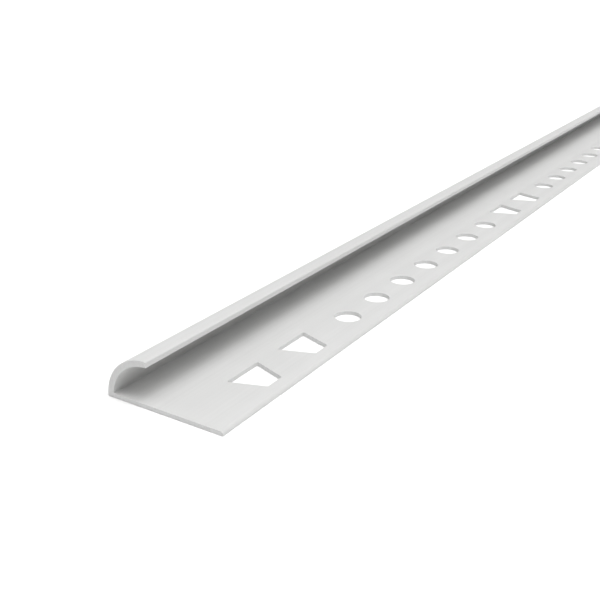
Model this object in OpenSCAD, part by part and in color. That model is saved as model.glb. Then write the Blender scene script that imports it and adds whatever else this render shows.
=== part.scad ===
// Round-edge tile trim: one length of extruded PVC with a punched anchor leg.
// The bar runs along X, the leg lies on Z = 0 and its free edge faces -Y.
// The section is drawn from the outer wall (u = 0) towards the free edge of the leg.

/* [Bar] */
// Length of the bar as sold
bar_length = 2500; // [400:1:3000]

/* [Section] */
// Width over all, from the outer wall to the free edge of the leg
leg_w = 29.2; // [26:0.1:40]
// Thickness of the leg
leg_t = 1.0; // [0.8:0.05:1.6]
// Clear height between the leg and the lip, for the tile
tile_gap = 8.1; // [7:0.1:12]
// Thickness of the curved wall at the lip
lip_t = 1.3; // [1:0.05:1.8]
// Thickness of the curved wall at its foot
wall_t = 1.55; // [1.2:0.05:2.4]
// How far the lip runs on past the crown of the outer arc
lip_past = 0.4; // [0:0.05:2]

/* [Edges] */
// Radius on the upper corner of the lip
nose_r = 0.35; // [0.2:0.05:0.95]
// Radius on the upper corner of the free edge
edge_r = 0.8; // [0.2:0.05:0.8]
// Radius on the outer corner under the wall
foot_r = 0.3; // [0.1:0.05:0.5]
// Fillet between the leg and the inside of the wall
fillet_r = 0.2; // [0.1:0.05:0.8]

/* [Punched holes] */
// Distance of the line of holes from the free edge
hole_line = 7.5; // [6:0.1:9]
// Long side of an anchor slot, next to the wall
slot_long = 11; // [9:0.1:13]
// Short side of an anchor slot, next to the free edge
slot_short = 5; // [4:0.1:8]
// Width of an anchor slot across the leg
slot_depth = 8.3; // [6:0.1:9.5]
// Radius in the corners of an anchor slot
slot_corner_r = 0.4; // [0.2:0.05:0.8]
// Diameter of a round hole
hole_d = 6.5; // [4:0.1:8]

/* [Hole pattern] */
// Distance between the two slots of a pair
slot_pitch = 18.4; // [15:0.1:25]
// Distance from a slot to the first round hole
slot_to_hole = 19; // [14:0.1:30]
// Distance between round holes
hole_pitch = 14.5; // [11:0.1:25]
// Number of round holes between two pairs of slots
holes_per_run = 7; // [1:1:12]
// Least distance from the sawn end to the middle of the first slot
end_margin = 15; // [8:0.5:40]

/* [Hidden] */

// Both arcs of the wall have their middles on the floor line, under the lip.
inner_r = leg_t + tile_gap;
outer_r = inner_r + lip_t;
inner_middle = [wall_t + inner_r, 0];
outer_middle = [outer_r, 0];
lip_u = outer_r + lip_past;

// The nose lies inside the outer arc and touches it and the end of the lip.
nose_past = lip_past - nose_r;
nose_rise = sqrt(pow(outer_r - nose_r, 2) - pow(nose_past, 2));
nose_middle = outer_middle + [nose_past, nose_rise];

// The round under the wall touches the outer arc and the floor.
foot_back = sqrt(pow(outer_r - foot_r, 2) - pow(foot_r, 2));
foot_middle = outer_middle + [-foot_back, foot_r];

// The fillet touches the inner arc and the leg.
fillet_rise = leg_t + fillet_r;
fillet_back = sqrt(pow(inner_r - fillet_r, 2) - pow(fillet_rise, 2));
fillet_middle = inner_middle + [-fillet_back, fillet_rise];

run_pitch = slot_pitch + 2 * slot_to_hole + (holes_per_run - 1) * hole_pitch;
runs = floor((bar_length - 2 * end_margin - slot_pitch) / run_pitch);
first_pair_x = -runs * run_pitch / 2;
hole_y = -leg_w / 2 + hole_line;

arc_fn = 48;
corner_steps = 3;
overshoot = 1;

function unit(v) = v / norm(v);
function left_of(v) = [-v[1], v[0]];

// Corner between two directions outside a circle, which starts at its middle and reaches depth past it.
module beyond_arc(middle, from, to, r, depth) {
    reach = r + depth;
    difference() {
        polygon([middle, middle + from * reach, middle + (from + to) * reach, middle + to * reach]);
        translate(middle) circle(r, $fn = arc_fn);
    }
}

// Curved wall: a quarter ring, thick at the foot and thin at the lip.
module curved_wall_2d() {
    difference() {
        intersection() {
            translate(outer_middle) circle(outer_r, $fn = arc_fn);
            translate([-overshoot, 0]) square([lip_u + overshoot, outer_r + overshoot]);
        }
        translate(inner_middle) circle(inner_r, $fn = arc_fn);
        beyond_arc(nose_middle, unit([nose_past, nose_rise]), [1, 0], nose_r, overshoot);
        beyond_arc(foot_middle, unit([-foot_back, foot_r]), [0, -1], foot_r, overshoot);
    }
}

// Flat leg from the middle of the wall to its free edge, with the fillet in the corner below the lip.
module leg_2d() {
    difference() {
        translate([wall_t / 2, 0]) square([leg_w - wall_t / 2, leg_t]);
        beyond_arc([leg_w - edge_r, leg_t - edge_r], [0, 1], [1, 0], edge_r, overshoot);
    }
    beyond_arc(fillet_middle, unit([-fillet_back, fillet_rise]), [0, -1], fillet_r, min(leg_t, wall_t) / 2);
}

// Whole section, turned so that the wall is on +Y and the free edge on -Y.
module section_2d() {
    translate([leg_w / 2, 0])
        mirror([1, 0]) {
            leg_2d();
            curved_wall_2d();
        }
}

// Points of the arc that rounds corner p of a convex outline drawn anticlockwise.
function round_corner(before, p, after, r) =
    let (
        into = unit(p - before),
        out = unit(after - p),
        turn = acos(into * out),
        back = r * tan(turn / 2),
        middle = p - into * back + left_of(into) * r,
        start = atan2(-left_of(into)[1], -left_of(into)[0])
    )
    [for (i = [0 : corner_steps])
        let (a = start + turn * i / corner_steps) middle + r * [cos(a), sin(a)]];

// Outline of an anchor slot: a symmetric trapezium whose long side faces the wall.
module slot_2d() {
    corners = [
        [-slot_short / 2, -slot_depth / 2],
        [slot_short / 2, -slot_depth / 2],
        [slot_long / 2, slot_depth / 2],
        [-slot_long / 2, slot_depth / 2]
    ];
    n = len(corners);
    polygon([for (i = [0 : n - 1])
        each round_corner(corners[(i + n - 1) % n], corners[i], corners[(i + 1) % n], slot_corner_r)]);
}

// A punch goes straight down through the leg at x on the line of holes.
module punch(x) {
    translate([x, hole_y, -overshoot])
        linear_extrude(leg_t + 2 * overshoot) children();
}

// Pairs of slots, with a run of round holes between each pair and the next.
module punched_holes() {
    for (i = [0 : runs]) {
        pair_x = first_pair_x + i * run_pitch;
        for (side = [-1, 1])
            punch(pair_x + side * slot_pitch / 2) slot_2d();
        if (i < runs)
            for (k = [0 : holes_per_run - 1])
                punch(pair_x + slot_pitch / 2 + slot_to_hole + k * hole_pitch)
                    circle(d = hole_d, $fn = arc_fn);
    }
}

// One extruded bar, sawn square at both ends.
module trim_profile() {
    color([0.88, 0.88, 0.88])
        difference() {
            rotate([90, 0, 90])
                linear_extrude(bar_length, center = true) section_2d();
            punched_holes();
        }
}

trim_profile();
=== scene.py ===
import bpy
import numpy as np
from mathutils import Euler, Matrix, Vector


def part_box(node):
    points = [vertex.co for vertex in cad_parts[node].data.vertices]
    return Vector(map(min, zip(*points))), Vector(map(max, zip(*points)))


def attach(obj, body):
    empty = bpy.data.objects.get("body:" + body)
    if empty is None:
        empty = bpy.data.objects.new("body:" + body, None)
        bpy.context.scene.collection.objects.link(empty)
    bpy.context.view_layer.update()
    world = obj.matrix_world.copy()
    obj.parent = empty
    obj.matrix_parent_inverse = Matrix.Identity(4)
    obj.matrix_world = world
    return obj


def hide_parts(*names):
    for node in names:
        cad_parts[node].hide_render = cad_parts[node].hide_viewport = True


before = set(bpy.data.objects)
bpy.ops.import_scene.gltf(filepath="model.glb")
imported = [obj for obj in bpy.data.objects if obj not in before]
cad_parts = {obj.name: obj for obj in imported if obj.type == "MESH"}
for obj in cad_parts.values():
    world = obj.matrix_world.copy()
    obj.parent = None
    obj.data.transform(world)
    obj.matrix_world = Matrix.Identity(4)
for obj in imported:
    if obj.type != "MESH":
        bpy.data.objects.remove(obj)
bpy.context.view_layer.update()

# Trim bar: one length of rigid PVC, extruded as a quarter-round lip on a flat anchor leg.
# It is punched along the leg, so that tile adhesive grips it, and sawn square at both ends.
# It is a single piece with nothing fixed to it, and lies on its leg.

mm = 0.001
bar_low, bar_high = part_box("trim_profile")
edge_y = bar_low.y
wall_y = -edge_y

leg_thickness = 1.0 * mm
tile_gap = 8.1 * mm
lip_thickness = 1.3 * mm
wall_thickness = 1.55 * mm
lip_past_crown = 0.4 * mm

nose_radius = 0.35 * mm
free_edge_radius = 0.8 * mm
foot_radius = 0.3 * mm
fillet_radius = 0.2 * mm
die_corner_radius = 0.12 * mm

inner_radius = leg_thickness + tile_gap
outer_radius = inner_radius + lip_thickness
outer_middle = np.array([wall_y - outer_radius, 0])
inner_middle = np.array([wall_y - wall_thickness - inner_radius, 0])
lip_y = outer_middle[0] - lip_past_crown


def third_side(longest, other):
    """How far one circle's middle lies from another's along one axis: the third side of the right
    triangle whose longest side is the distance between the middles, and whose other side is known."""
    return np.sqrt(longest ** 2 - other ** 2)


def heading(vector):
    """Direction of a vector in degrees from +Y towards +Z."""
    return np.degrees(np.arctan2(vector[1], vector[0]))


nose_across = nose_radius - lip_past_crown
nose_middle = outer_middle + [nose_across, third_side(outer_radius - nose_radius, nose_across)]

foot_middle = outer_middle + [third_side(outer_radius - foot_radius, foot_radius), foot_radius]

fillet_rise = leg_thickness + fillet_radius
fillet_middle = inner_middle + [third_side(inner_radius - fillet_radius, fillet_rise), fillet_rise]

tip_across = lip_y + die_corner_radius - inner_middle[0]
tip_middle = inner_middle + [tip_across, third_side(inner_radius + die_corner_radius, tip_across)]

band_low_y = edge_y + 2.5 * mm
band_high_y = edge_y + 12.5 * mm


def arc(middle, radius, start, end, steps, hollow=False, runs_on=False):
    """Points and outward normals of an arc: the middle plus the radius times (cos a, sin a), where a goes
    from start to end in equal steps of degrees. The normals of a hollow arc point at its middle. An arc
    that runs on from the one before it leaves out its first point, which is the other's last."""
    a = np.radians(np.linspace(start, end, steps + 1)[int(runs_on):])
    out = np.stack([np.cos(a), np.sin(a)], axis=1)
    return middle + radius * out, -out if hollow else out


def flat_point(y, z, up):
    """One point on the flat of the leg, whose normal is straight up or straight down."""
    return np.array([[y, z]]), np.array([[0.0, up]])


fillet_end = heading(fillet_middle - inner_middle)
tip_start = heading(tip_middle - inner_middle)
nose_end = heading(nose_middle - outer_middle)
foot_start = heading(foot_middle - outer_middle)
section_parts = [
    flat_point(band_high_y, leg_thickness, 1),
    arc(fillet_middle, fillet_radius, -90, fillet_end, 8, hollow=True),
    arc(inner_middle, inner_radius, fillet_end, tip_start, 40, hollow=True, runs_on=True),
    arc(tip_middle, die_corner_radius, tip_start - 180, -180, 4, runs_on=True),
    arc(nose_middle, nose_radius, 180, nose_end, 14),
    arc(outer_middle, outer_radius, nose_end, foot_start, 48, runs_on=True),
    arc(foot_middle, foot_radius, foot_start, -90, 8, runs_on=True),
    flat_point(band_high_y, 0, -1),
    flat_point(band_low_y, 0, -1),
    arc([edge_y + die_corner_radius, die_corner_radius], die_corner_radius, -90, -180, 4),
    arc([edge_y + free_edge_radius, leg_thickness - free_edge_radius], free_edge_radius, 180, 90, 10),
    flat_point(band_low_y, leg_thickness, 1),
]
section = np.concatenate([points for points, _ in section_parts])
section_out = np.concatenate([normals for _, normals in section_parts])
part_starts = np.cumsum([0] + [len(points) for points, _ in section_parts])
top_near_wall, under_near_wall, under_near_edge, top_near_edge = part_starts[[0, 7, 8, 11]]

slot_long = 11.0 * mm
slot_short = 5.0 * mm
slot_depth = 8.3 * mm
slot_corner_radius = 0.4 * mm
hole_radius = 3.25 * mm
hole_line_y = edge_y + 7.5 * mm

slot_pitch = 18.4 * mm
slot_to_hole = 19.0 * mm
hole_pitch = 14.5 * mm
holes_per_run = 7
end_margin = 15.0 * mm

bar_length = bar_high.x - bar_low.x
run_pitch = slot_pitch + 2 * slot_to_hole + (holes_per_run - 1) * hole_pitch
runs = int((bar_length - 2 * end_margin - slot_pitch) / run_pitch)
pair_x = run_pitch * (np.arange(runs + 1) - runs / 2)
slot_x = (pair_x[:, None] + slot_pitch / 2 * np.array([-1, 1])).ravel()
first_hole_x = pair_x[:-1] + slot_pitch / 2 + slot_to_hole
hole_x = (first_hole_x[:, None] + hole_pitch * np.arange(holes_per_run)).ravel()

saw_break = 0.08 * mm
saw_turn = np.radians([90, 60, 30, 0])
punch_x = np.sort(np.concatenate([slot_x, hole_x]))
cell_borders = (punch_x[:-1] + punch_x[1:]) / 2
end_depth = saw_break * (1 - np.sin(saw_turn))
end_inset = saw_break * (1 - np.cos(saw_turn))
stations = np.concatenate([bar_low.x + end_depth, cell_borders, bar_high.x - end_depth[::-1]])
insets = np.concatenate([end_inset, np.zeros_like(cell_borders), end_inset[::-1]])
facing = np.concatenate([-np.sin(saw_turn), np.zeros_like(cell_borders), np.sin(saw_turn[::-1])])
first_cell = len(saw_turn) - 1
last_cell = first_cell + len(punch_x)


def extruded_sides():
    """The section carried along X: at each station it is drawn in by the inset of the broken saw edge,
    and its normals lean to the end by the sine of the edge's turn. The band of punched cells is left open."""
    count = len(section)
    points = np.empty((len(stations), count, 3))
    points[:, :, 0] = stations[:, None]
    points[:, :, 1:] = section - insets[:, None, None] * section_out
    normals = np.empty_like(points)
    normals[:, :, 0] = facing[:, None]
    normals[:, :, 1:] = np.sqrt(1 - facing ** 2)[:, None, None] * section_out
    step, side = np.meshgrid(np.arange(len(stations) - 1), np.arange(count), indexing="ij")
    after = (side + 1) % count
    quads = np.stack([
        step * count + side,
        (step + 1) * count + side,
        (step + 1) * count + after,
        step * count + after,
    ], axis=-1)
    in_band = np.isin(side, [under_near_wall, top_near_edge])
    in_cells = (step >= first_cell) & (step < last_cell)
    return points.reshape(-1, 3), normals.reshape(-1, 3), quads[~(in_band & in_cells)]


def round_outline(steps):
    """A circle of the hole's radius, begun at 45 degrees so that each quarter faces one side of its cell."""
    a = np.radians(45 + 360 * np.arange(steps) / steps)
    out = np.stack([np.cos(a), np.sin(a)], axis=1)
    return hole_radius * out, out


def slot_outline(steps):
    """A trapezium with rounded corners: each corner is an arc between the normals of its two sides, about
    a middle that lies one corner radius inside both. It is begun in the middle of the first corner."""
    lean = np.arctan((slot_long - slot_short) / 2 / slot_depth)
    middle_y = (slot_depth / 2 - slot_corner_radius) * np.array([1, 1, -1, -1])
    half_width = (slot_long + slot_short) / 4 + middle_y * np.tan(lean)
    half_width = half_width - slot_corner_radius / np.cos(lean)
    middle = np.stack([half_width * np.array([1, -1, -1, 1]), middle_y], axis=1)
    start = np.radians([0, 90, 180, 270]) + lean * np.array([-1, 0, 1, 0])
    end = np.radians([90, 180, 270, 360]) + lean * np.array([0, 1, 0, -1])
    a = np.linspace(start, end, steps + 1, axis=1)
    out = np.stack([np.cos(a), np.sin(a)], axis=-1)
    outline = (middle[:, None] + slot_corner_radius * out).reshape(-1, 2)
    return np.roll(outline, -(steps // 2), axis=0), np.roll(out.reshape(-1, 2), -(steps // 2), axis=0)


roll_over = 0.15 * mm
break_out = 0.08 * mm


def punched_cells(centre_x, outline, out, first_vertex):
    """Holes with their cells of the leg. A hole's outline is carried down through the leg on rings whose
    turn goes from 0, up, to 180, down: it grows by the edge radius times one less the sine of the turn.
    Each of the cell's four sides is closed, above and below, by one flat face from its edge to a quarter
    of the hole."""
    turn = np.radians([0, 30, 60, 90, 90, 135, 180])
    edge = np.array([roll_over] * 4 + [break_out] * 3)
    edge_middle = np.array([leg_thickness - roll_over] * 4 + [break_out] * 3)
    grow = edge * (1 - np.sin(turn))
    rings, around = len(turn), len(outline)
    points = np.empty((len(centre_x), rings, around, 3))
    points[..., :2] = outline + grow[:, None, None] * out
    points[..., 0] += centre_x[:, None, None]
    points[..., 1] += hole_line_y
    points[..., 2] = (edge_middle + edge * np.cos(turn))[:, None]
    normals = np.empty_like(points)
    normals[..., :2] = -np.sin(turn)[:, None, None] * out
    normals[..., 2] = np.cos(turn)[:, None]

    ring_start = first_vertex + around * np.arange(len(centre_x) * rings).reshape(-1, rings)
    here = np.arange(around)
    after = (here + 1) % around
    upper, lower = ring_start[:, :-1, None], ring_start[:, 1:, None]
    walls = np.stack([upper + here, upper + after, lower + after, lower + here], axis=-1).reshape(-1, 4)

    cell = first_cell + np.searchsorted(punch_x, centre_x)
    near, far = cell * len(section), (cell + 1) * len(section)
    quarter = around // 4
    back_along = (np.arange(1, 5)[:, None] * quarter - np.arange(quarter + 1)) % around

    def flats(ring, wall_side, edge_side):
        """The four faces round each hole: two corners of the cell, then the hole's quarter, backwards."""
        corners = np.stack([far + wall_side, near + wall_side, near + edge_side, far + edge_side], axis=1)
        pairs = np.stack([corners, np.roll(corners, -1, axis=1)], axis=2)
        quarters = ring_start[:, ring, None, None] + back_along
        return np.concatenate([pairs, quarters], axis=2).reshape(-1, quarter + 3)

    tops = flats(0, top_near_wall, top_near_edge)
    unders = flats(-1, under_near_wall, under_near_edge)[:, ::-1]
    return points.reshape(-1, 3), normals.reshape(-1, 3), walls, tops, unders


side_points, side_normals, side_quads = extruded_sides()
sawn_ends = [np.arange(len(section)), len(section) * len(stations) - 1 - np.arange(len(section))]
slot_corner_steps = 6
hole_steps = 40
slot_points, slot_normals, *slot_faces = punched_cells(
    slot_x, *slot_outline(slot_corner_steps), len(side_points))
hole_points, hole_normals, *hole_faces = punched_cells(
    hole_x, *round_outline(hole_steps), len(side_points) + len(slot_points))

bar_points = np.concatenate([side_points, slot_points, hole_points])
bar_normals = np.concatenate([side_normals, slot_normals, hole_normals])
bar_faces = [side_quads, *slot_faces, *hole_faces]

bar_mesh = bpy.data.meshes.new("trim_bar")
bar_mesh.from_pydata(
    bar_points.tolist(), [], [face for faces in bar_faces for face in faces.tolist()]
    + [end.tolist() for end in sawn_ends])
bar_mesh.shade_smooth()
bar_mesh.normals_split_custom_set_from_vertices(bar_normals.tolist())

cut = np.concatenate([
    np.repeat(np.abs(facing), len(section)),
    1 - np.abs(slot_normals[:, 2]),
    1 - np.abs(hole_normals[:, 2]),
])
bar_mesh.attributes.new("cut", "FLOAT", "POINT").data.foreach_set("value", cut.astype(np.float32))

trim_bar = bpy.data.objects.new("trim_bar", bar_mesh)
bpy.context.collection.objects.link(trim_bar)

pvc = bpy.data.materials.new("light_grey_pvc")
pvc.use_nodes = True
pvc_tree = pvc.node_tree


def pvc_node(kind, sockets, **settings):
    """Adds one node to the PVC. A socket is given a value, or the output of an earlier node."""
    node = pvc_tree.nodes.new("ShaderNode" + kind)
    for name, value in settings.items():
        setattr(node, name, value)
    for name, value in sockets.items():
        if isinstance(value, bpy.types.NodeSocket):
            pvc_tree.links.new(value, node.inputs[name])
        else:
            node.inputs[name].default_value = value
    return node.outputs[0]


def drawn_noise(scale, detail):
    """Noise stretched along an axis: the place times the scale, in spots per metre on each axis."""
    stretched = pvc_node("Mapping", {"Vector": bar_place, "Scale": scale})
    return pvc_node("TexNoise", {"Vector": stretched, "Scale": 1.0, "Detail": detail, "Roughness": 0.6})


def ranged(value, low, high):
    """A noise value, which stays mostly between 0.3 and 0.7, spread over low to high."""
    return pvc_node("MapRange", {
        "Value": value, "From Min": 0.3, "From Max": 0.7, "To Min": low, "To Max": high})


bar_place = pvc_tree.nodes.new("ShaderNodeTexCoord").outputs["Object"]
cut_here = pvc_tree.nodes.new("ShaderNodeAttribute")
cut_here.attribute_name = "cut"
cut_here = cut_here.outputs["Fac"]

die_lines = drawn_noise((1.5, 1000, 1000), 4.0)
tool_lines = drawn_noise((3000, 3000, 150), 2.0)
grain = drawn_noise((3200, 3200, 3200), 3.0)
clouding = drawn_noise((40, 60, 60), 3.0)

die_tone = ranged(die_lines, -0.22, 0.22)
cloud_tone = ranged(clouding, 0.35, 0.65)
tool_tone = ranged(tool_lines, -0.3, 0.3)
streaked = pvc_node("Math", {0: die_tone, 1: cloud_tone}, operation="ADD")
tooled = pvc_node("Math", {0: cut_here, 1: tool_tone, 2: streaked}, operation="MULTIPLY_ADD")
darker_grey = (0.595, 0.595, 0.590, 1)
lighter_grey = (0.683, 0.683, 0.678, 1)
pvc_colour = pvc_tree.nodes.new("ShaderNodeValToRGB")
pvc_colour.color_ramp.elements[0].color = darker_grey
pvc_colour.color_ramp.elements[1].color = lighter_grey
pvc_tree.links.new(tooled, pvc_colour.inputs["Fac"])

cut_roughness = 0.2
die_roughness = ranged(die_lines, 0.46, 0.60)
matt = pvc_node("Math", {0: cut_here, 1: cut_roughness, 2: die_roughness}, operation="MULTIPLY_ADD")

die_depth = 0.010 * mm
grain_depth = 0.003 * mm
tool_depth = 0.05 * mm
tool_height = pvc_node("Math", {0: tool_lines, 1: cut_here}, operation="MULTIPLY")
die_relief = pvc_node("Bump", {"Height": die_lines, "Strength": 1.0, "Distance": die_depth})
grain_relief = pvc_node("Bump", {
    "Height": grain, "Strength": 1.0, "Distance": grain_depth, "Normal": die_relief})
tool_relief = pvc_node("Bump", {
    "Height": tool_height, "Strength": 1.0, "Distance": tool_depth, "Normal": grain_relief})

pvc_shader = pvc_tree.nodes["Principled BSDF"]
pvc_tree.links.new(pvc_colour.outputs["Color"], pvc_shader.inputs["Base Color"])
pvc_tree.links.new(matt, pvc_shader.inputs["Roughness"])
pvc_tree.links.new(tool_relief, pvc_shader.inputs["Normal"])
bar_mesh.materials.append(pvc)

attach(trim_bar, "root")
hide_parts("trim_profile")

# Floor: a plain white studio table, large enough to fill the picture behind the bar.
# It lies a hundredth of a millimetre below the leg, so that the two faces don't coincide.

floor_drop = 0.01 * mm
floor_reach = 60.0
floor_mesh = bpy.data.meshes.new("floor")
floor_corners = floor_reach * np.array([[-1, -1, 0], [1, -1, 0], [1, 1, 0], [-1, 1, 0]])
floor_corners = floor_corners - [0, 0, floor_drop]
floor_mesh.from_pydata(floor_corners.tolist(), [], [[0, 1, 2, 3]])
floor = bpy.data.objects.new("floor", floor_mesh)
bpy.context.collection.objects.link(floor)
white_paper = bpy.data.materials.new("white_paper")
white_paper.use_nodes = True
paper_shader = white_paper.node_tree.nodes["Principled BSDF"]
paper_shader.inputs["Base Color"].default_value = (0.95, 0.95, 0.95, 1)
paper_shader.inputs["Roughness"].default_value = 1.0
paper_shader.inputs["Specular IOR Level"].default_value = 0.0
floor_mesh.materials.append(white_paper)

# Light: five large white screens over and round the table, in a room with pale walls.
# None of them makes a hard shadow, and all are far off, so that the whole bar is lit alike.

studio = bpy.data.worlds.new("studio")
studio.use_nodes = True
room = studio.node_tree
wall_top = 0.16
ceiling_start = 0.24
wall_brightness = 0.4
ceiling_brightness = 0.18
look = room.nodes.new("ShaderNodeTexCoord")
rise = room.nodes.new("ShaderNodeSeparateXYZ")
wall_fade = room.nodes.new("ShaderNodeMapRange")
room.links.new(look.outputs["Generated"], rise.inputs["Vector"])
room.links.new(rise.outputs["Z"], wall_fade.inputs["Value"])
wall_fade.inputs["From Min"].default_value = wall_top
wall_fade.inputs["From Max"].default_value = ceiling_start
wall_fade.inputs["To Min"].default_value = wall_brightness
wall_fade.inputs["To Max"].default_value = ceiling_brightness
room.links.new(wall_fade.outputs["Result"], room.nodes["Background"].inputs["Strength"])
room.nodes["Background"].inputs["Color"].default_value = (1, 1, 1, 1)
bpy.context.scene.world = studio
bpy.context.scene.view_settings.view_transform = "Standard"


def light_screen(name, heading_from_x, height, width, strength):
    """A far screen of even light: a sun whose disc is as wide, in degrees, as the screen is from the
    table. It stands at a heading from +X and a height above the table, both in degrees."""
    lamp = bpy.data.lights.new(name, "SUN")
    lamp.angle = np.radians(width)
    lamp.energy = strength
    screen = bpy.data.objects.new(name, lamp)
    screen.rotation_euler = Euler(np.radians([90 - height, 0, heading_from_x + 90]))
    bpy.context.collection.objects.link(screen)


light_screen("ceiling_screen", 0, 90, 70, 0.75)
light_screen("high_front_screen", 270, 75, 40, 1.39)
light_screen("front_screen", 270, 60, 40, 0.81)
light_screen("near_end_screen", 180, 50, 60, 0.32)
light_screen("back_screen", 90, 35, 40, 0.50)

# Camera: close above the near end of the bar, looking along it so that it runs off to the upper right.
# Its place is measured from the near end, the free edge and the floor.

camera_data = bpy.data.cameras.new("camera")
picture_width = 600
focal_pixels = 885
camera_data.sensor_width = 36.0
camera_data.lens = camera_data.sensor_width * focal_pixels / picture_width
camera_data.clip_start = 0.005
camera_data.clip_end = 50
camera = bpy.data.objects.new("camera", camera_data)
bpy.context.collection.objects.link(camera)
behind_end = 111.72 * mm
beside_edge = 89.38 * mm
above_floor = 86.40 * mm
turn_from_x = 32.919
look_down = 22.468
camera.location = (bar_low.x - behind_end, edge_y - beside_edge, above_floor)
camera.rotation_euler = Euler(np.radians([90 - look_down, 0, turn_from_x - 90]))
bpy.context.scene.camera = camera
